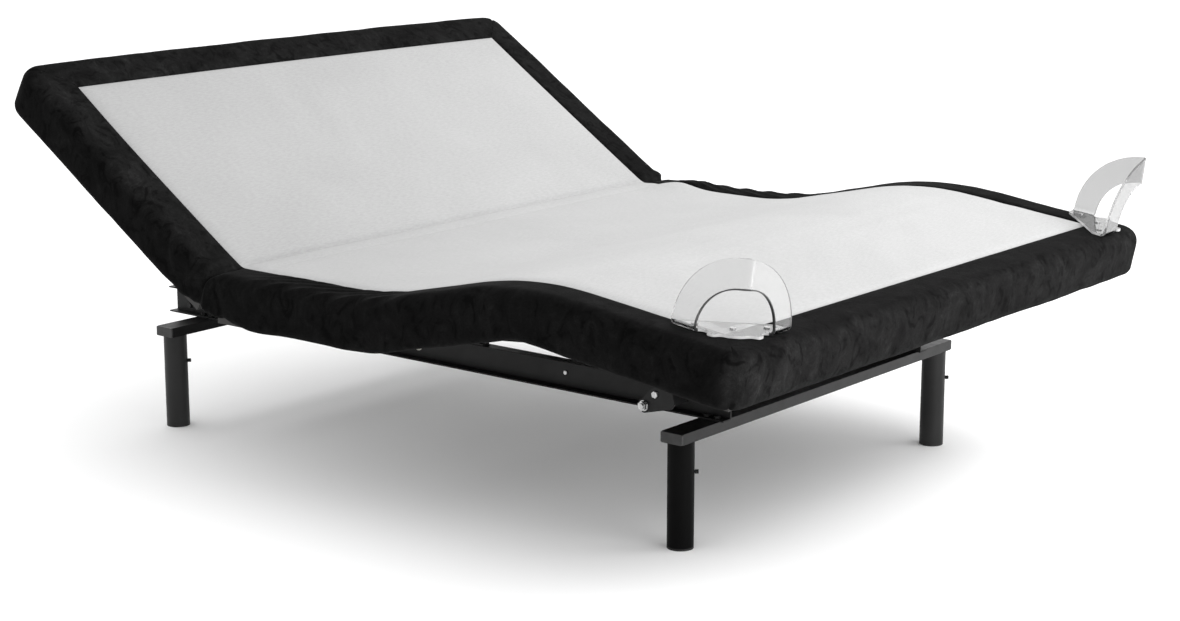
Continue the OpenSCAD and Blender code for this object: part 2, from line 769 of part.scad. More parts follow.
// Welded link: inner arm from the rail bolt to the calf bracket, outer ear and a square spacer
module foot_links() {
    color("#262628") in_foot_link() on_both_sides() {
        difference() {
            union() {
                plate_yz(-link_plate_x - 4, -link_plate_x) union() {
                    polygon([[0, -13], [-85, -9], [-145, -5], [-link_len, -11],
                        [-link_len, 13], [-70, 16], [-45, 34], [-25, 30], [0, 13]]);
                    circle(13);
                    translate([-link_len, 0]) circle(12);
                }
                plate_yz(-ear_x - 4, -ear_x) union() {
                    polygon([[0, -14], [-62, -14], [-72, -6], [-72, 30], [-45, 34], [-25, 30],
                        [0, 14]]);
                    circle(14);
                }
                translate([0, -58, 11]) difference() {
                    box_at(-ear_x, -link_plate_x - 4, -13, 13, -19, 19);
                    box_at(-ear_x - 1, -link_plate_x + 1, -10.5, 10.5, -16.5, 16.5);
                }
            }
            rod_x(link_bolt_r + fit, -ear_x - 10, -link_plate_x + 10);
        }
        translate([0, -link_len, 0]) {
            rod_x(link_pin2_r, -link_plate_x - 15, -link_plate_x - 3);
            rod_x(12.5, -link_plate_x - 16, -link_plate_x - 12);
        }
        translate([0, -32, 18]) hex_x(7, -ear_x - 8, -ear_x - 3);
    }
}
// Drop brackets under the calf section with the loose bores for the foot links' pins
module calf_link_brackets() {
    y = -link_pin_reach;
    bore_r = link_pin2_r + link_play;
    color("#262628") in_calf() on_both_sides() difference() {
        union() {
            plate_yz(-link_plate_x - 10, -link_plate_x - 5) union() {
                polygon([[y - 30, 0], [y + 30, 0], [y + 16, -link_pin_drop],
                    [y - 16, -link_pin_drop]]);
                translate([y, -link_pin_drop]) circle(16);
            }
            box_at(-link_plate_x - 40, -link_plate_x - 5, y - 30, y + 30, 0, 3);
            box_at(-link_plate_x - 40, -link_plate_x - 5, y - 30, y + 30, 3, board_z);
        }
        translate([0, y, -link_pin_drop]) rod_x(bore_r, -link_plate_x - 30, -link_plate_x + 30);
        box_at(-link_plate_x - 37, -link_plate_x - 8, y - 31, y + 31, 3, board_z - 3);
    }
}

// ---- Mattress retainers --------------------------------------------------

function arc_points(a, b, t0, t1, n) = [for (i = [0 : n])
    let (t = t0 + (t1 - t0) * i / n) [a * cos(t), b * sin(t)]];
// Half of the arch, standing on the X axis with its crease at x = 0; the outer ellipse is
// centred `set_back` behind the crease, so the top falls away from it
module half_arch(set_back) {
    a = retainer_reach + set_back;
    b = retainer_h / sqrt(1 - pow(set_back / a, 2));
    intersection() {
        difference() {
            translate([-set_back, 0])
                polygon(concat([[0, 0]], arc_points(a, b, 0, 90, 24)));
            polygon(concat([[-1, -1], [retainer_reach - band_w, -1]],
                arc_points(retainer_reach - band_w, retainer_h - band_w - 5, 0, 90, 24),
                [[-1, retainer_h - band_w - 5]]));
        }
        square([retainer_reach + 1, retainer_h + 1]);
    }
}
// Retainer for the foot-left corner: two upright half arches and a base plate
module retainer() {
    rotate([0, 0, 90]) rotate([90, 0, 0]) linear_extrude(sheet_t) half_arch(5);
    rotate([90, 0, 0]) translate([0, 0, -sheet_t]) linear_extrude(sheet_t) half_arch(45);
    linear_extrude(sheet_t) difference() {
        polygon([[0, retainer_reach], [0, retainer_reach - band_w], [26, 70], [26, 44],
            [44, 26], [70, 26], [retainer_reach - band_w, 0], [retainer_reach, 0],
            [retainer_reach, 34], [104, 72], [72, 104], [34, retainer_reach]]);
        for (p = [[30, 118], [118, 30], [62, 62]]) translate(p) circle(3.2);
    }
}
module retainer_left() {
    color([0.92, 0.95, 0.96, 0.35]) in_calf()
        translate([-retainer_x[0], -retainer_y[0], base_z]) retainer();
}
module retainer_right() {
    color([0.92, 0.95, 0.96, 0.35]) in_calf()
        translate([retainer_x[1], -retainer_y[1], base_z]) mirror([1, 0, 0]) retainer();
}
module retainer_screws() {
    color("#c8c8cc") in_calf() for (i = [0, 1], p = [[30, 118], [118, 30], [62, 62]])
        translate([sides[i] * (retainer_x[i] - p[0]), p[1] - retainer_y[i], base_z]) {
            translate([0, 0, sheet_t]) cylinder(r = 5.5, h = 2);
            translate([0, 0, 0.1]) cylinder(r = 3, h = sheet_t);
        }
}

rail_left();
rail_right();
foot_crossbeam();
head_crossbeam();
crossbeam_end_caps();
leg_foot_left();
leg_foot_right();
leg_head_left();
leg_head_right();
leg_glides();
leg_studs();
leg_lock_screws();
rail_bolts();
seat_subframe();
actuator_crossmembers();
seat_deck_board();
seat_side_boards();
seat_foam();
seat_side_padding();
seat_hinge_leaves();
deck_hinge_pins();
torque_tube_bushes();
control_box();
power_inlet();
head_actuator_motor();
head_actuator_tube();
knee_actuator_motor();
knee_actuator_tube();
foot_link_bolts();
head_deck_board();
head_frame_boards();
head_foam();
head_side_padding();
head_end_padding();
head_hinge_leaves();
head_lift_brackets();
thigh_deck_board();
thigh_frame_boards();
thigh_foam();
thigh_side_padding();
thigh_hinge_leaves();
knee_hinge_pins();
thigh_lift_brackets();
calf_deck_board();
calf_frame_boards();
calf_foam();
calf_side_padding();
calf_end_padding();
calf_hinge_leaves();
calf_link_brackets();
retainer_left();
retainer_right();
retainer_screws();
foot_links();
head_torque_tube();
head_lift_links();
knee_torque_tube();
knee_lift_links();
head_actuator_rod();
knee_actuator_rod();
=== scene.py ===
import json
import math

import bmesh
import bpy
import numpy as np
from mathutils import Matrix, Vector, noise


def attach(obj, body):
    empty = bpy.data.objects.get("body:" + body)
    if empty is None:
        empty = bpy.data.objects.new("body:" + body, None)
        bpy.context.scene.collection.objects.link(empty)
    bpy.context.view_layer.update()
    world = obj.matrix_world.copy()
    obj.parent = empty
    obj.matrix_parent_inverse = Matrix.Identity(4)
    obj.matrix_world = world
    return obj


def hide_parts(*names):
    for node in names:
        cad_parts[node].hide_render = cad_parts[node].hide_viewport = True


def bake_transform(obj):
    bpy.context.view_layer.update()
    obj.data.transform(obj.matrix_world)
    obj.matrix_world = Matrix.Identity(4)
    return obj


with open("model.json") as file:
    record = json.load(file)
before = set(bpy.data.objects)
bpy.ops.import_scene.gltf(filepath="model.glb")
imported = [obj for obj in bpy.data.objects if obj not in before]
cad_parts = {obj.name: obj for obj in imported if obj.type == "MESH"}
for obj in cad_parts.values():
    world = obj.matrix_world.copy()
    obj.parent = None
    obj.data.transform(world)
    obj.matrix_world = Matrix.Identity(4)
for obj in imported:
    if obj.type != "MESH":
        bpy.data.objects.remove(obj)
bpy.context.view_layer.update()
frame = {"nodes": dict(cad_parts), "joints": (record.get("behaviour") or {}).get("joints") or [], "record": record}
nodes = frame["nodes"]
scene = bpy.context.scene

# ---- Sizes, in metres, repeated from the CAD model ------------------------
HEAD_TILT, THIGH_TILT, CALF_TILT = (math.radians(a) for a in (33.5, 13.0, 7.0))
DECK_T = 0.104  # the deck's thickness with its cover
HALF_W = 0.755
BORDER = 0.094  # from the deck's outline to the border's seam
PLAN_R = 0.050  # the deck's corners, seen from above
DROP = 0.091  # from the underside up to the hinges of the head and the thigh
HEAD_LEN = 0.680
CALF_LEN = 0.489
SHEET_T = 0.005  # the retainers' sheet
RETAINER_H = 0.149
REACH = 0.148  # from a retainer's corner to the end of each limb
BAND = 0.050  # width of a retainer's arch
BEND = 0.013  # how far the soft bend at a retainer's crease reaches along each limb
SCREW_HOLE_R = 0.0032
SCREW_PLACES = ((0.030, 0.118), (0.118, 0.030), (0.062, 0.062))

# ---- Choices of the visual model, in metres ---------------------------------
STEP = 0.0075  # spacing of the cover's rows of points
ABOVE_DECK = 0.0003  # gap under a retainer's base plate
FLOOR_HALF = 60
# Where the plated parts of two nodes are: distances from the middle, along Y and along X
RIVET_Y = (0.207, 0.267)
LINK_SCREW_X = (0.4203, 1.0)

pivot = {j["name"]: np.array(j["pos_m"][1:]) for j in frame["joints"] if "pos_m" in j}
hinge_h, hinge_t, knee = pivot["head_lift"], pivot["knee_lift"], pivot["knee_hinge"]


def direction(angle):
    return np.array([math.cos(angle), math.sin(angle)])


def square_to(v):
    return np.array([-v[1], v[0]])


def meet(p, u, q, v):
    """Where the line from p along u crosses the line from q along v, in the YZ plane."""
    a = np.linalg.solve(np.array([u, -v]).T, q - p)[0]
    return p + a * u


# Each section's direction towards the head, and its upward normal
dir_h, dir_s, dir_t, dir_c = (direction(a) for a in (HEAD_TILT, 0.0, -THIGH_TILT, CALF_TILT))
up_h, up_s, up_t, up_c = (square_to(v) for v in (dir_h, dir_s, dir_t, dir_c))


def fold_line(height):
    """The deck's side view as a folded line, at a height above the underside."""
    at_hinge = height - DROP
    first = hinge_h + HEAD_LEN * dir_h + at_hinge * up_h
    a = meet(first, dir_h, hinge_t + at_hinge * up_s, dir_s)
    b = meet(hinge_t + at_hinge * up_s, dir_s, hinge_t + at_hinge * up_t, dir_t)
    c = meet(hinge_t + at_hinge * up_t, dir_t, knee + height * up_c, dir_c)
    return np.array([first, a, b, c, knee - CALF_LEN * dir_c + height * up_c])


TOP, UNDER = fold_line(DECK_T), fold_line(0.0)
STATION = np.concatenate([[0], np.cumsum(np.linalg.norm(np.diff(TOP, axis=0), axis=1))])
LENGTH = STATION[-1]
# Half-lengths over which the folds at the head hinge, the thigh hinge and the knee are eased
TOP_EASE = (0.020, 0.080, 0.130)
UNDER_EASE = (0.160, 0.090, 0.020)
# The cover's three pieces meet mid seat and mid thigh
SPLITS = ((STATION[1] + STATION[2]) / 2, (STATION[2] + STATION[3]) / 2)


def along(s, line, ease):
    """Points on a folded line at flat lengths s from the head end, each fold eased over its half-length."""
    k = np.clip(np.searchsorted(STATION, s, side="right") - 1, 0, 3)
    f = ((s - STATION[k]) / (STATION[k + 1] - STATION[k]))[:, None]
    out = line[k] * (1 - f) + line[k + 1] * f
    for i, h in zip((1, 2, 3), ease):
        near = np.abs(s - STATION[i]) < h
        t = ((s[near] - STATION[i] + h) / (2 * h))[:, None]
        a = line[i] + (line[i - 1] - line[i]) * h / (STATION[i] - STATION[i - 1])
        b = line[i] + (line[i + 1] - line[i]) * h / (STATION[i + 1] - STATION[i])
        out[near] = (1 - t) ** 2 * a + 2 * t * (1 - t) * line[i] + t * t * b
    return out


def folded(flat):
    """Flat deck points (x, length from the head end, height) folded into the rest pose."""
    top, under = along(flat[:, 1], TOP, TOP_EASE), along(flat[:, 1], UNDER, UNDER_EASE)
    yz = under + (top - under) * (flat[:, 2] / DECK_T)[:, None]
    return np.column_stack([flat[:, 0], yz])


def bump(v, centre, width):
    return np.exp(-(((v - centre) / width) ** 2))


def cloud(points, scale, seed):
    """Smooth noise from -1 to 1 at each point; scale is in cycles per metre and can differ by axis."""
    p = points * np.array(scale) + seed
    return np.array([noise.noise(Vector(q)) for q in p])


# ---- Camera, light and floor ----------------------------------------------
camera = bpy.data.objects.new("camera", bpy.data.cameras.new("camera"))
scene.collection.objects.link(camera)
camera.data.lens = 71.467
camera.data.sensor_width = 36
camera.data.sensor_fit = "HORIZONTAL"
camera.location = (-3.81295, -3.06942, 1.37858)
camera.rotation_euler = (math.radians(90 - 12.547), 0, math.radians(-51.37))
scene.camera = camera


def area_light(name, place, target, size, watts):
    light = bpy.data.lights.new(name, "AREA")
    light.shape = "RECTANGLE"
    light.size, light.size_y = size
    light.energy = watts
    o = bpy.data.objects.new(name, light)
    o.location = place
    o.rotation_euler = (Vector(target) - Vector(place)).to_track_quat("-Z", "Y").to_euler()
    scene.collection.objects.link(o)


area_light("foot_softbox", (-0.8, -4.3, 0.75), (-0.2, -0.9, 0.35), (2.6, 1.2), 60)
area_light("top_softbox", (1.7, -2.3, 2.2), (0.3, -0.7, 0.3), (1.6, 1.2), 54)
sun = bpy.data.lights.new("overhead_bank", "SUN")
sun.energy = 0.15
sun.angle = math.radians(42)
overhead = bpy.data.objects.new("overhead_bank", sun)
overhead.rotation_euler = Vector((0.35, 0.95, 2.0)).to_track_quat("Z", "Y").to_euler()
scene.collection.objects.link(overhead)
world = bpy.data.worlds.new("studio")
scene.world = world
world.use_nodes = True
world.node_tree.nodes["Background"].inputs["Color"].default_value = (1, 1, 1, 1)
world.node_tree.nodes["Background"].inputs["Strength"].default_value = 1.36
scene.view_settings.view_transform = "Standard"
scene.view_settings.look = "None"


# ---- Materials --------------------------------------------------------------
class Shader:
    """A Principled material with short calls for its procedural nodes."""

    def __init__(self, name, **values):
        self.mat = bpy.data.materials.new(name)
        self.mat.use_nodes = True
        self.tree = self.mat.node_tree
        self.bsdf = self.tree.nodes["Principled BSDF"]
        for key, value in values.items():
            self.bsdf.inputs[key.replace("_", " ")].default_value = value
        self.place = self.add("ShaderNodeTexCoord").outputs["Object"]

    def add(self, kind, **settings):
        n = self.tree.nodes.new(kind)
        for key, value in settings.items():
            setattr(n, key, value)
        return n

    def link(self, a, b):
        self.tree.links.new(a, b)

    def to(self, socket, out):
        self.link(out, self.bsdf.inputs[socket])

    def scaled(self, scale, source=None):
        n = self.add("ShaderNodeMapping")
        n.inputs["Scale"].default_value = scale
        self.link(source or self.place, n.inputs["Vector"])
        return n.outputs["Vector"]

    def noise(self, scale, detail=3.0, rough=0.5, distortion=0.0, source=None):
        n = self.add("ShaderNodeTexNoise")
        n.inputs["Scale"].default_value = scale
        n.inputs["Detail"].default_value = detail
        n.inputs["Roughness"].default_value = rough
        n.inputs["Distortion"].default_value = distortion
        self.link(source or self.place, n.inputs["Vector"])
        return n.outputs["Fac"]

    def wave(self, scale, axis, distortion=0.0, detail=2.0, source=None):
        n = self.add("ShaderNodeTexWave", bands_direction=axis)
        n.inputs["Scale"].default_value = scale
        n.inputs["Distortion"].default_value = distortion
        n.inputs["Detail"].default_value = detail
        self.link(source or self.place, n.inputs["Vector"])
        return n.outputs["Fac"]

    def ramp(self, value, *stops):
        """stops are (position, (r, g, b)) or (position, grey)."""
        n = self.add("ShaderNodeValToRGB")
        e = n.color_ramp.elements
        while len(e) < len(stops):
            e.new(0.5)
        for item, (at, colour) in zip(e, stops):
            rgb = colour if isinstance(colour, tuple) else (colour,) * 3
            item.position = at
            item.color = (*rgb, 1)
        self.link(value, n.inputs["Fac"])
        return n.outputs["Color"]

    def math(self, operation, a, b):
        n = self.add("ShaderNodeMath", operation=operation)
        for socket, value in zip(n.inputs, (a, b)):
            if isinstance(value, (int, float)):
                socket.default_value = value
            else:
                self.link(value, socket)
        return n.outputs[0]

    def mix(self, share, a, b, blend="MIX"):
        n = self.add("ShaderNodeMix", data_type="RGBA", blend_type=blend)
        for socket, value in ((n.inputs[0], share), (n.inputs[6], a), (n.inputs[7], b)):
            if isinstance(value, (int, float)):
                socket.default_value = value
            elif isinstance(value, tuple):
                socket.default_value = (*value, 1)
            else:
                self.link(value, socket)
        return n.outputs[2]

    def relief(self, height, strength, distance, rounded=0.0):
        """Bump from a height; rounded is the radius by which sharp edges are softened."""
        n = self.add("ShaderNodeBump")
        n.inputs["Strength"].default_value = strength
        n.inputs["Distance"].default_value = distance
        self.link(height, n.inputs["Height"])
        if rounded:
            soft = self.add("ShaderNodeBevel", samples=4)
            soft.inputs["Radius"].default_value = rounded
            self.link(soft.outputs["Normal"], n.inputs["Normal"])
        self.to("Normal", n.outputs["Normal"])

    def product(self, colour, *layers):
        """A colour multiplied by each layer in turn."""
        for layer in layers:
            colour = self.mix(1.0, colour, layer, "MULTIPLY")
        return colour


def painted(name, dark, light, rough, rounded=0.0012, shine=0.15):
    """Powder coat: fine orange peel, cloudy sheen and slightly rubbed patches."""
    m = Shader(name, Specular_IOR_Level=shine)
    patches = m.noise(9, 4, 0.6)
    m.to("Base Color", m.ramp(patches, (0.3, dark), (0.75, light)))
    m.to("Roughness", m.ramp(m.noise(38, 4, 0.6), (0.3, rough - 0.07), (0.75, rough + 0.09)))
    m.relief(m.noise(1400, 2, 0.5), 0.25, 0.0002, rounded)
    return m.mat


def moulded(name, dark, light, rough=0.5):
    """Moulded plastic with a fine spark-eroded grain."""
    m = Shader(name, Specular_IOR_Level=0.28)
    m.to("Base Color", m.ramp(m.noise(60, 3), (0.35, dark), (0.7, light)))
    m.to("Roughness", m.ramp(m.noise(500, 2), (0.3, rough - 0.06), (0.7, rough + 0.08)))
    m.relief(m.noise(2200, 2, 0.6), 0.3, 0.00015, 0.0008)
    return m.mat


def metal(name, dark, light, rough):
    m = Shader(name, Metallic=1.0)
    m.to("Base Color", m.ramp(m.noise(45, 5, 0.65), (0.3, dark), (0.7, light)))
    m.to("Roughness", m.ramp(m.noise(180, 4, 0.6), (0.3, rough - 0.07), (0.7, rough + 0.1)))
    m.relief(m.noise(900, 3, 0.6), 0.15, 0.0001, 0.0005)
    return m.mat


def part_plated(name, axis, start, end):
    """Black finish, with bright zinc between two distances from the middle along one axis."""
    m = Shader(name, Roughness=0.36, Specular_IOR_Level=0.18)
    axes = m.add("ShaderNodeSeparateXYZ")
    m.link(m.place, axes.inputs[0])
    off = m.math("ABSOLUTE", axes.outputs[axis], 0)
    plated = m.math("MULTIPLY", m.math("GREATER_THAN", off, start), m.math("LESS_THAN", off, end))
    wear = m.noise(45, 4, 0.6)
    m.to("Metallic", plated)
    black, bright = m.ramp(wear, (0.3, 0.005), (0.7, 0.009)), m.ramp(wear, (0.3, 0.34), (0.7, 0.54))
    m.to("Base Color", m.mix(plated, black, bright))
    m.relief(m.noise(900, 3, 0.6), 0.15, 0.0001, 0.0005)
    return m.mat


def wood(name, dark, light, across, layered):
    """Dark wood whose broad grain changes across Y or across Z; layered adds the plies seen on the edges."""
    m = Shader(name, Roughness=0.62)
    if across == "Y":
        broad, thin = (0.05, 1, 1), (0.15, 2.2, 2.2)
    else:
        broad, thin = (0.1, 0.1, 1), (2.2, 0.15, 2.2)
    grain = m.noise(38, 4, 0.6, 0.4, m.scaled(broad))
    fine = m.noise(30, 6, 0.65, 0.3, m.scaled(thin))
    tone = m.ramp(grain, (0.3, dark), (0.7, light))
    pores = m.ramp(fine, (0.42, (0.62, 0.55, 0.45)), (0.55, (1, 1, 1)))
    colour = m.mix(0.7, tone, pores, "MULTIPLY")
    if layered:
        plies = m.ramp(m.wave(62, "Z", 0.6, 1.0), (0.4, (0.75, 0.72, 0.68)), (0.6, (1, 1, 1)))
        colour = m.mix(0.35, colour, plies, "MULTIPLY")
    m.to("Base Color", colour)
    m.relief(fine, 0.35, 0.0004, 0.0006)
    return m.mat


def velour():
    """Short black pile: brushed patches, blots, hairs and nap, and painted light that makes faces turned towards
    the foot lighter.
    """
    m = Shader("border_velour", Roughness=0.95, Specular_IOR_Level=0.035)
    m.bsdf.inputs["Sheen Weight"].default_value = 0.02
    m.bsdf.inputs["Sheen Roughness"].default_value = 0.35
    m.bsdf.inputs["Sheen Tint"].default_value = (0.8, 0.8, 0.8, 1)
    patches = m.noise(11, 4, 0.60, 1.2)
    blots = m.noise(27, 4, 0.62, 1.7, m.scaled((1.0, 1.0, 0.7)))
    hairs = m.noise(58, 4, 0.6, 0.9)
    nap = m.noise(750, 3, 0.7)
    base = m.ramp(patches, (0.36, 0.0032), (0.46, 0.0045), (0.58, 0.0054), (0.70, 0.0072))
    sweep = m.ramp(blots, (0.37, 0.36), (0.45, 0.84), (0.58, 1.04), (0.68, 1.42))
    shade = m.ramp(hairs, (0.45, 0.97), (0.50, 1.25), (0.55, 0.97))
    dots = m.ramp(nap, (0.35, 0.76), (0.65, 1.24))
    # Painted light: faces whose normal turns towards the foot (-Y) are up to twice as light, the others 0.66
    # times, as if lit from the foot
    axes = m.add("ShaderNodeSeparateXYZ")
    m.link(m.add("ShaderNodeTexCoord").outputs["Normal"], axes.inputs[0])
    painted_foot_light = m.ramp(m.math("MULTIPLY", axes.outputs["Y"], -1.0), (0.15, 0.66), (0.85, 2.0))
    m.to("Base Color", m.product(base, shade, sweep, dots, painted_foot_light))
    height = m.math("ADD", m.math("MULTIPLY", m.noise(420, 4, 0.7), 0.6), blots)
    m.relief(height, 0.45, 0.0012)
    return m.mat


def top_cloth():
    """Light plain weave with slubs, faint cloudiness, soft puckers and painted shade towards the head end's left
    corner.
    """
    m = Shader("top_cloth", Roughness=0.9, Specular_IOR_Level=0.2)
    m.bsdf.inputs["Sheen Weight"].default_value = 0.08
    m.bsdf.inputs["Sheen Roughness"].default_value = 0.5
    flat = m.add("ShaderNodeUVMap", uv_map="flat").outputs["UV"]
    warp = m.wave(200, "X", 0.8, 2.0, flat)
    weft = m.wave(200, "Y", 0.8, 2.0, flat)
    weave = m.math("MULTIPLY", warp, weft)
    slubs = m.noise(300, 3, 0.6, 0.2, m.scaled((0.25, 1, 1), flat))
    clouds = m.noise(3.5, 4, 0.55, 0.4)
    tone = m.ramp(clouds, (0.3, 0.415), (0.7, 0.445))
    # Painted shade: slightly greyer towards the head end's left corner
    axes = m.add("ShaderNodeSeparateXYZ")
    m.link(flat, axes.inputs[0])
    rightwards = m.math("MULTIPLY", axes.outputs["X"], 0.35)
    footwards = m.math("MULTIPLY", axes.outputs["Y"], 0.5)
    slope = m.math("ADD", m.math("ADD", rightwards, footwards), 0.2)
    painted_head_shade = m.ramp(slope, (0.05, 0.81), (0.42, 0.90), (0.70, 0.985), (0.90, 1.0))
    threads = m.ramp(weave, (0.0, 0.90), (0.7, 1.04))
    specks = m.ramp(slubs, (0.36, 0.93), (0.62, 1.03))
    m.to("Base Color", m.product(tone, painted_head_shade, threads, specks))
    puckers = m.noise(55, 4, 0.6, 0.6, m.scaled((0.6, 1, 1), flat))
    height = m.math("ADD", m.math("MULTIPLY", weave, 0.25), puckers)
    m.relief(height, 0.35, 0.0011)
    return m.mat


def acrylic(name, tint, rough, clear=1.0):
    """Clear cast sheet with a very faint haze."""
    m = Shader(name, Transmission_Weight=clear, IOR=1.49)
    m.bsdf.inputs["Base Color"].default_value = (tint, tint, tint, 1)
    m.to("Roughness", m.ramp(m.noise(25, 3), (0.35, rough), (0.7, rough + 0.015)))
    return m.mat


frame_black = painted("frame_black", 0.006, 0.010, 0.42)
# Painted light and shade: the four legs share one paint, given as a darker copy for the front left leg and a
# lighter copy for the other three
leg_paint_shaded_copy = painted("leg_paint_shaded_copy", 0.0012, 0.0024, 0.45, 0.0008, 0.045)
# Painted shade: a darker copy of the frame's black paint, for the head crossbeam
crossbeam_shaded_copy = painted("crossbeam_shaded_copy", 0.003, 0.005, 0.42, 0.0012, 0.09)
leg_paint_lit_copy = painted("leg_paint_lit_copy", 0.012, 0.018, 0.45, 0.0008, 0.18)
beam_grey = painted("beam_grey", 0.009, 0.0135, 0.36, 0.0012, 0.2)
cap_plastic = moulded("cap_plastic", 0.019, 0.028, 0.42)
zinc = metal("zinc_hardware", 0.34, 0.54, 0.24)
rod_steel = metal("rod_steel", 0.44, 0.54, 0.14)
black_plastic = moulded("black_plastic", 0.007, 0.012)
bush_plastic = moulded("bush_plastic", (0.38, 0.37, 0.33), (0.46, 0.45, 0.41), 0.35)
plywood = wood("plywood", (0.007, 0.0065, 0.006), (0.018, 0.017, 0.016), "Y", True)
pine = wood("pine_board", (0.006, 0.0055, 0.005), (0.016, 0.015, 0.014), "Z", False)
velour_mat = velour()
cloth_mat = top_cloth()
clear_mat = acrylic("clear_acrylic", 0.83, 0.012)
# Painted shade: a darker copy of clear_acrylic, for the right retainer's sheet and inner strip
shaded_acrylic_copy = acrylic("clear_acrylic_painted_shade", 0.44, 0.012)
# Painted shade and light: the cut rims' greys stand for the surroundings they refract, a darker copy on the left
# retainer and a lighter one on the right
shaded_edge_copy = acrylic("acrylic_edge_painted_shade", 0.30, 0.2, 0.6)
lit_edge_copy = acrylic("acrylic_edge_painted_light", 0.46, 0.2, 0.8)
# Painted shade: a nearly black, nearly opaque finish on the strip along the left retainer's inner edge and its cut
# edges, standing for the dark line that refraction shows there
painted_shade_strip = acrylic("acrylic_painted_shade_strip", 0.02, 0.3, 0.1)
base_mat = acrylic("acrylic_base", 0.93, 0.04)
base_edge = acrylic("acrylic_base_edge", 0.72, 0.25, 0.4)

by_slot = {
    "frame_black": frame_black, "beam_grey": beam_grey, "zinc_hardware": zinc, "rod_steel": rod_steel,
    "black_plastic": black_plastic, "bush_plastic": bush_plastic, "plywood": plywood,
    "pine_board": pine, "top_cloth": cloth_mat, "border_velour": velour_mat, "clear_acrylic": clear_mat,
}
# Painted light and shade: the legs and the head crossbeam take lit and shaded copies of their paint
by_node = {"leg_lock_screws": frame_black, "leg_foot_left": leg_paint_shaded_copy, "leg_foot_right": leg_paint_lit_copy,
           "leg_head_left": leg_paint_lit_copy, "leg_head_right": leg_paint_lit_copy, "crossbeam_end_caps": cap_plastic,
           "head_crossbeam": crossbeam_shaded_copy,
           "rail_bolts": part_plated("rail_bolt_finish", "Y", *RIVET_Y),
           "foot_links": part_plated("foot_link_finish", "X", *LINK_SCREW_X)}
for part in frame["record"]["subparts"]:
    o = nodes[part["node"]]
    o.data.materials.clear()
    o.data.materials.append(by_node.get(part["node"], by_slot[part["material_slot"]]))


def make_mesh(name, points, faces, material, uv):
    mesh = bpy.data.meshes.new(name)
    mesh.from_pydata([tuple(p) for p in points], [], faces)
    mesh.materials.append(material)
    layer = mesh.uv_layers.new(name="flat")
    corners = np.zeros(len(mesh.loops), np.int32)
    mesh.loops.foreach_get("vertex_index", corners)
    layer.data.foreach_set("uv", uv[corners].astype(np.float32).ravel())
    mesh.polygons.foreach_set("use_smooth", [True] * len(mesh.polygons))
    mesh.update()
    o = bpy.data.objects.new(name, mesh)
    scene.collection.objects.link(o)
    return o


# ---- Upholstery: one continuous cover, made flat and folded into the rest pose ----
def spaced(low, high, step, also=()):
    """Even samples from low to high, moved so that each value in also is one of them."""
    marks = [low, *sorted(also), high]
    parts = [np.linspace(a, b, max(2, round((b - a) / step) + 1))[:-1] for a, b in zip(marks, marks[1:])]
    return np.concatenate([*parts, [high]])


# Extra rows beside the sharp fold at the head hinge
fold_rows = [STATION[1] + d for d in (-0.014, -0.010, -0.006, -0.002, 0.002, 0.006, 0.010, 0.014)]
seam_s = [BORDER, *fold_rows, *SPLITS, LENGTH - BORDER]
side_s = spaced(PLAN_R, LENGTH - PLAN_R, STEP, seam_s)
end_x = spaced(-(HALF_W - PLAN_R), HALF_W - PLAN_R, STEP * 1.6, [-(HALF_W - BORDER), HALF_W - BORDER])
arc = np.linspace(0, math.pi / 2, 13)


def ring(inset):
    """The deck's outline moved inwards: right side, foot end, left side and head end, with corner arcs."""
    r, c = max(PLAN_R - inset, 0.0), max(PLAN_R, inset)
    w = HALF_W - inset
    s = np.clip(side_s, c, LENGTH - c)
    x = np.clip(end_x, c - HALF_W, HALF_W - c)
    foot, cx = LENGTH - c, HALF_W - c
    rows = [
        np.column_stack([np.full(len(s), w), s]),
        np.column_stack([cx + r * np.cos(arc), foot + r * np.sin(arc)])[1:-1],
        np.column_stack([x[::-1], np.full(len(x), LENGTH - inset)]),
        np.column_stack([-cx - r * np.sin(arc), foot + r * np.cos(arc)])[1:-1],
        np.column_stack([np.full(len(s), -w), s[::-1]]),
        np.column_stack([-cx - r * np.cos(arc), c - r * np.sin(arc)])[1:-1],
        np.column_stack([x, np.full(len(x), inset)]),
        np.column_stack([cx + r * np.sin(arc), c - r * np.cos(arc)])[1:-1],
    ]
    return np.concatenate(rows)


def border_profile():
    """(inset, height) from the seam over the roll, down the side and under the boards' edge."""
    rows = [(BORDER, 0.0990), (0.0930, 0.1002), (0.0915, 0.1014), (0.0890, 0.1025), (0.0840, 0.1034)]
    rows += [(d, 0.1040) for d in np.linspace(0.079, 0.037, 11)]
    top_r, top_centre, low_r, tuck = 0.030, 0.0738, 0.022, 0.002
    for a in np.linspace(0, math.pi / 2, 10):
        rows.append((top_r * (1 - math.sin(a)), top_centre + top_r * math.cos(a)))
    rows += [(0.0, 0.064), (0.0003, 0.054), (0.0008, 0.044), (0.0014, 0.034)]
    for a in np.linspace(0, math.pi / 2, 8):
        rows.append((tuck + low_r * (1 - math.cos(a)), low_r * (1 - math.sin(a))))
    rows += [(0.030, 0.0), (0.0382, 0.0), (0.0388, 0.006), (0.0388, 0.020)]
    return rows


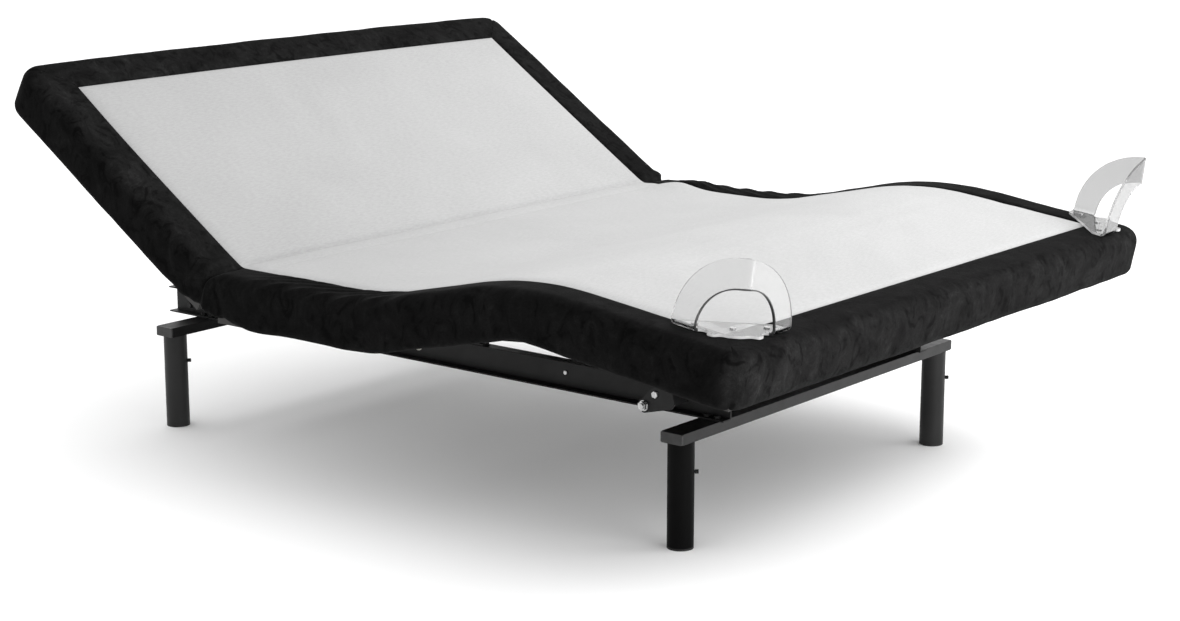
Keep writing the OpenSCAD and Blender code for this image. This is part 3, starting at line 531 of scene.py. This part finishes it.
profile = border_profile()
rings = [np.column_stack([ring(d), np.full(len(ring(0.0)), n)]) for d, n in profile]
count = len(rings[0])
flat = np.concatenate(rings)
corner = len(arc) - 2
run_start = np.cumsum([0, len(side_s), corner, len(end_x), corner, len(side_s), corner, len(end_x)])
mitres = [run_start[i] + corner // 2 for i in (1, 3, 5, 7)]
faces = []
for i in range(len(profile) - 1):
    for j in range(count):
        k = (j + 1) % count
        faces.append((i * count + j, i * count + k, (i + 1) * count + k, (i + 1) * count + j))
depth = np.repeat([d for d, n in profile], count)
height = np.repeat([n for d, n in profile], count)
solid = folded(flat)


def vertex_normals(points, quads):
    q = np.array(quads)
    n = np.cross(points[q[:, 2]] - points[q[:, 0]], points[q[:, 3]] - points[q[:, 1]])
    out = np.zeros_like(points)
    for c in range(4):
        np.add.at(out, q[:, c], n)
    return out / np.maximum(np.linalg.norm(out, axis=1), 1e-12)[:, None]


def border_relief(f):
    """How far the velour stands out from its smooth form, at flat points f."""
    x, s, n = f.T
    edge = np.clip((BORDER - depth) / 0.02, 0, 1)
    side = np.clip((DECK_T - n) / 0.03, 0, 1)
    long_side = (np.abs(x) > HALF_W - BORDER - 0.001) & (s > 0.06) & (s < LENGTH - 0.06)
    h = 0.0016 * cloud(f, (7, 7, 9), 3.1) + 0.0007 * cloud(f, (24, 24, 30), 8.7)
    # Fan of creases spreading down from the head hinge
    low = (DECK_T - n) + 0.02
    fan = np.arctan2(s - STATION[1], low)
    reach = bump(s, STATION[1], 0.10) * side
    h += long_side * reach * (0.0034 * np.sin(9.5 * fan + 0.6) + 0.0018 * np.sin(23 * fan + 2.0))
    # Soft drag lines beside the seat, the thigh hinge and the knee
    lines = cloud(np.column_stack([x * 3, s + n * 2.6, s * 0.2]), (1, 5, 1), 5.5)
    lines += cloud(np.column_stack([x * 2, n * 3.0 - s * 0.55, np.zeros(len(n))]), (1, 22, 1), 1.5)
    pulled = ((STATION[1] + 0.15, 0.12, 0.0024), (STATION[2], 0.12, 0.0026), (STATION[3], 0.10, 0.0014))
    for centre, width, amount in pulled:
        h += long_side * bump(s, centre, width) * amount * lines
    # Pinch where the head section folds up, running down across the side and towards the head
    fold_s = STATION[1] + 0.002 - 0.45 * (DECK_T - n)
    deep = long_side * np.clip((n - 0.030) / 0.05, 0, 1)
    h += deep * (0.0050 * bump(s, fold_s - 0.022, 0.012) - 0.0085 * bump(s, fold_s, 0.009))
    # Creases that slant across the border's top beside the seat, from its roll towards the seam
    slant = depth - 0.45 * (s - STATION[1]) + 0.007 * cloud(f, (9, 9, 9), 4.6)
    ridge = (0.5 + 0.5 * np.cos(2 * math.pi * slant / 0.030)) ** 3
    beside = np.clip((s - STATION[1] - 0.07) / 0.08, 0, 1) * np.clip((STATION[2] + 0.12 - s) / 0.12, 0, 1)
    h += long_side * 0.0032 * ridge * beside * np.clip((n - 0.066) / 0.02, 0, 1)
    h += 0.0012 * side * cloud(f, (3, 3, 18), 6.2) * ~long_side
    return h * edge


relief = border_relief(flat)
out = vertex_normals(solid, faces)
if np.dot(out[:, 0], flat[:, 0]) < 0:
    out = -out
    faces = [f[::-1] for f in faces]
for m in mitres:
    line = np.arange(len(profile)) * count + m
    relief[line] -= 0.0022 * np.clip((height[line] - 0.006) / 0.01, 0, 1)
solid = solid + out * relief[:, None]


def lift(x, s):
    """Moves shared by cloth and border: gathered beside the right of the seat, crowned along the head end."""
    gathered = 0.013 * bump(s, STATION[1] + 0.115, 0.055) * bump(x, 0.655, 0.07)
    crowned = 0.0100 * (1 - ((x + 0.20) / 0.97) ** 2) * bump(s, 0, 0.18)
    return gathered[:, None] * np.array([0, 0, 1]) + crowned[:, None] * np.array([0, *up_h])


solid += lift(flat[:, 0], flat[:, 1]) * np.clip((height - 0.03) / 0.03, 0, 1)[:, None]
perimeter = np.concatenate([[0], np.cumsum(np.linalg.norm(np.diff(ring(0.0), axis=0), axis=1))])
run = np.cumsum([0, *[math.hypot(a[0] - b[0], a[1] - b[1]) for a, b in zip(profile, profile[1:])]])
border_uv = np.column_stack([np.tile(perimeter, len(profile)), np.repeat(run, count)])


def cut_to_three(name, points, quads, s_of, uv, material):
    """Three meshes that meet at mid seat and mid thigh, doubles and slivers removed."""
    q = np.array(quads)
    middle = s_of[q].mean(1)
    zone = np.digitize(middle, SPLITS)
    made = []
    for i, label in enumerate(("head", "middle", "foot")):
        chosen = q[zone == i]
        used, local = np.unique(chosen, return_inverse=True)
        own_quads = local.reshape(chosen.shape).tolist()
        o = make_mesh(f"{name}_{label}", points[used], own_quads, material, uv[used])
        bm = bmesh.new()
        bm.from_mesh(o.data)
        bmesh.ops.remove_doubles(bm, verts=bm.verts, dist=1e-5)
        bmesh.ops.dissolve_degenerate(bm, dist=1e-6, edges=bm.edges)
        bm.to_mesh(o.data)
        bm.free()
        o.data.polygons.foreach_set("use_smooth", [True] * len(o.data.polygons))
        o.data.update()
        made.append(o)
    return made


border = cut_to_three("border_cover", solid, faces, flat[:, 1], border_uv, velour_mat)

# Light top cloth, sharing the seam's points with the border
cloth_x = spaced(-(HALF_W - BORDER), HALF_W - BORDER, 0.0115)
cloth_s = np.array([v for v in side_s if BORDER - 1e-9 <= v <= LENGTH - BORDER + 1e-9])
gx, gs = np.meshgrid(cloth_x, cloth_s)
x, s = gx.ravel(), gs.ravel()
inset = np.minimum(HALF_W - BORDER - np.abs(x), np.minimum(s - BORDER, LENGTH - BORDER - s))
crown = 0.0990 + 0.0052 * (1 - np.exp(-inset / 0.006)) + 0.0030 * np.clip(inset / 0.25, 0, 1) ** 0.6
cloth = folded(np.column_stack([x, s, crown]))
cols = len(cloth_x)
quads = [(r * cols + c, r * cols + c + 1, (r + 1) * cols + c + 1, (r + 1) * cols + c)
         for r in range(len(cloth_s) - 1) for c in range(cols - 1)]
flat_cloth = np.column_stack([x, s, np.zeros(len(x))])
fade = np.clip(inset / 0.02, 0, 1)
wrinkle = 0.0012 * cloud(flat_cloth, (4, 7, 1), 2.3)
by_thigh_and_knee = bump(s, STATION[2], 0.16) + bump(s, STATION[3] + 0.1, 0.14)
wrinkle += 0.0013 * cloud(flat_cloth, (3, 30, 1), 9.1) * by_thigh_and_knee
aslant = flat_cloth @ np.array([[0.8, 0.6, 0], [-0.6, 0.8, 0], [0, 0, 1]])
wrinkle += 0.0012 * cloud(aslant, (5, 26, 1), 4.4) * np.clip((s - STATION[3]) / 0.2, 0, 1)
wrinkle -= 0.0078 * bump(s, STATION[1] - 0.003, 0.0060) + 0.0026 * bump(s, STATION[1] + 0.055, 0.009)
wrinkle += 0.0014 * bump(s, STATION[1] + 0.028, 0.016) * (1 + 0.5 * cloud(flat_cloth, (6, 1, 1), 7.7))
up = vertex_normals(cloth, quads)
if up[len(up) // 2][2] < 0:
    up = -up
    quads = [q[::-1] for q in quads]
cloth = cloth + up * (wrinkle * fade)[:, None]
cloth += lift(x, s)
cloth_uv = np.column_stack([x, s])
cloths = cut_to_three("top_cloth", cloth, quads, s, cloth_uv, cloth_mat)

# Each cover piece's bend, listed but not used below, and the CAD parts it stands for, which are hidden
bends = (
    ("frame", "head_section", hinge_h, -dir_s, dir_h, 0.075),
    ("frame", "thigh_section", hinge_t, dir_s, -dir_t, 0.080),
    ("thigh_section", "calf_section", knee, dir_t, -dir_c, 0.105),
)
stands_for = (
    (["head_side_padding", "head_end_padding", "seat_side_padding"], ["head_foam", "seat_foam"]),
    (["thigh_side_padding"], ["thigh_foam"]),
    (["calf_side_padding", "calf_end_padding"], ["calf_foam"]),
)
for i, (a, b, centre, back, ahead, half) in enumerate(bends):
    for o in (border[i], cloths[i]):
        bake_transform(o)
    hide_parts(*stands_for[i][0])
    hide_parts(*stands_for[i][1])


# ---- Clear mattress retainers ------------------------------------------------
def limb_rows(set_back, rows=64):
    """Band of half the arch as rows of (u from the crease, v up the sheet), from the foot to the crease."""
    a = REACH + set_back
    b = RETAINER_H / math.sqrt(1 - (set_back / a) ** 2)
    inner_a, inner_b = REACH - BAND, RETAINER_H - BAND - 0.005
    last = math.acos(set_back / a)
    out = []
    for f in np.linspace(0.0, 1.0, rows):
        lower = np.array([inner_a * math.cos(math.pi / 2 * f), inner_b * math.sin(math.pi / 2 * f)])
        upper = np.array([a * math.cos(last * f) - set_back, b * math.sin(last * f)])
        out.append([lower + (upper - lower) * share for share in (0, 0.045, 0.25, 0.5, 0.75, 1)])
    return out


def plan_path(u):
    """Plan position of a point u from the crease, (off the limb's line, along it), round the soft bend."""
    if u >= BEND:
        return 0.0, u
    turn = math.pi / 4 * (1 - u / BEND)
    return BEND * (1 - math.cos(turn)), BEND * (1 - math.sin(turn))


def rounded_outline(corners, radius):
    """Closed outline with each corner rounded; a corner given with a third value keeps its point."""
    out = []
    for i, c in enumerate(corners):
        p, q, r = (Vector(corners[(i + k) % len(corners)][:2]) for k in (-1, 0, 1))
        if len(c) > 2:
            out.append(tuple(q))
            continue
        cut = min(radius, (p - q).length * 0.45, (r - q).length * 0.45)
        a, b = q + (p - q).normalized() * cut, q + (r - q).normalized() * cut
        out += [tuple((1 - t) ** 2 * a + 2 * t * (1 - t) * q + t * t * b) for t in np.linspace(0, 1, 6)]
    return out


def make_retainer(name, node, side, corner_x, corner_y, sheet, edge, inner, inner_edge):
    """Base plate, rolled feet and banded arch in one bent sheet, as a mid surface given its thickness."""
    # Each surface's material slot is followed by the slot of its cut edge
    on_arch, on_base, on_inner = 0, 2, 4

    def place(x, y, z):
        y, z = y - corner_y, DECK_T + ABOVE_DECK + z
        c, n = math.cos(CALF_TILT), math.sin(CALF_TILT)
        return side * (corner_x - x), knee[0] + y * c - z * n, knee[1] + y * n + z * c

    bm = bmesh.new()
    mid, roll = SHEET_T / 2, 0.009
    feet = {}
    for limb, set_back in (("side", 0.005), ("foot", 0.045)):
        rows = limb_rows(set_back)
        grid = []
        for t in np.linspace(0, 1, 8):
            turn = math.pi / 2 * t
            off, z = roll * (1 - math.sin(turn)), roll * (1 - math.cos(turn))
            grid.append([(off + mid, u, z + mid) for u, v in rows[0]])
        for row in rows:
            if max(v for u, v in row) <= roll:
                continue
            line = []
            for u, v in row:
                off, run = plan_path(u)
                line.append((off + mid, run + mid * bump(u, 0, BEND), max(v, roll * 1.02) + mid))
            grid.append(line)
        if limb == "foot":
            grid = [[(run, off, z) for off, run, z in line] for line in grid]
        verts = [[bm.verts.new(place(*p)) for p in line] for line in grid]
        for low_row, high_row in zip(verts, verts[1:]):
            for c in range(len(low_row) - 1):
                face = bm.faces.new((low_row[c], low_row[c + 1], high_row[c + 1], high_row[c]))
                face.material_index = on_inner if c == 0 else on_arch
        feet[limb] = [(x, y, 1) for x, y, z in grid[0]]
    far = REACH - 0.002
    outline = rounded_outline(
        [*feet["side"][::-1],
         (0.017, 0.092), (0.017, 0.080), (0.006, 0.077), (0.006, 0.063), (0.020, 0.057), (0.027, 0.040),
         (0.040, 0.027), (0.057, 0.020), (0.063, 0.006), (0.077, 0.006), (0.080, 0.017), (0.092, 0.017),
         *feet["foot"],
         (far, 0.032), (0.106, 0.070), (0.070, 0.106), (0.032, far)], 0.006)
    edges = []
    turns = np.linspace(0, 2 * math.pi, 17)[:-1]
    holes = [[(cx + SCREW_HOLE_R * math.cos(t), cy + SCREW_HOLE_R * math.sin(t)) for t in turns]
             for cx, cy in SCREW_PLACES]
    for loop in [outline, *holes]:
        loop_verts = [bm.verts.new(place(x, y, mid)) for x, y in loop]
        edges += [bm.edges.new(pair) for pair in zip(loop_verts, loop_verts[1:] + loop_verts[:1])]
    filled = bmesh.ops.triangle_fill(bm, use_beauty=True, edges=edges)
    for face in (g for g in filled["geom"] if isinstance(g, bmesh.types.BMFace)):
        face.material_index = on_base
    bmesh.ops.remove_doubles(bm, verts=bm.verts, dist=2e-4)
    bmesh.ops.recalc_face_normals(bm, faces=bm.faces)
    mesh = bpy.data.meshes.new(name)
    bm.to_mesh(mesh)
    bm.free()
    for finish in (sheet, edge, base_mat, base_edge, inner, inner_edge):
        mesh.materials.append(finish)
    mesh.polygons.foreach_set("use_smooth", [True] * len(mesh.polygons))
    o = bpy.data.objects.new(name, mesh)
    scene.collection.objects.link(o)
    thick = o.modifiers.new("thick", "SOLIDIFY")
    thick.thickness = SHEET_T
    thick.offset = 0
    thick.use_even_offset = True
    thick.material_offset_rim = 1
    bevel = o.modifiers.new("edges", "BEVEL")
    bevel.width = 0.0007
    bevel.segments = 2
    bevel.limit_method = "ANGLE"
    bevel.angle_limit = math.radians(50)
    bevel.harden_normals = True
    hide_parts(node)
    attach(o, "calf_section")


# Painted light and shade: the left retainer takes clear_acrylic, the darker rim copy and the painted black inner
# strip; the right takes the darker sheet copy and the lighter rim copy
make_retainer("retainer_sheet_left", "retainer_left", side=-1, corner_x=0.700, corner_y=0.456,
              sheet=clear_mat, edge=shaded_edge_copy, inner=painted_shade_strip, inner_edge=painted_shade_strip)
make_retainer("retainer_sheet_right", "retainer_right", side=1, corner_x=0.735, corner_y=0.475,
              sheet=shaded_acrylic_copy, edge=lit_edge_copy, inner=shaded_acrylic_copy, inner_edge=lit_edge_copy)

# ---- Floor -------------------------------------------------------------------
floor_mesh = bpy.data.meshes.new("floor")
floor_corners = [(a * FLOOR_HALF, b * FLOOR_HALF, 0) for a, b in ((-1, -1), (1, -1), (1, 1), (-1, 1))]
floor_mesh.from_pydata(floor_corners, [], [(0, 1, 2, 3)])
floor = bpy.data.objects.new("floor", floor_mesh)
scene.collection.objects.link(floor)
floor_paint = Shader("floor_paint", Roughness=0.9, Specular_IOR_Level=0.1)
floor_paint.to("Base Color", floor_paint.ramp(floor_paint.noise(0.6, 2), (0.3, 0.955), (0.7, 0.965)))
floor_mesh.materials.append(floor_paint.mat)
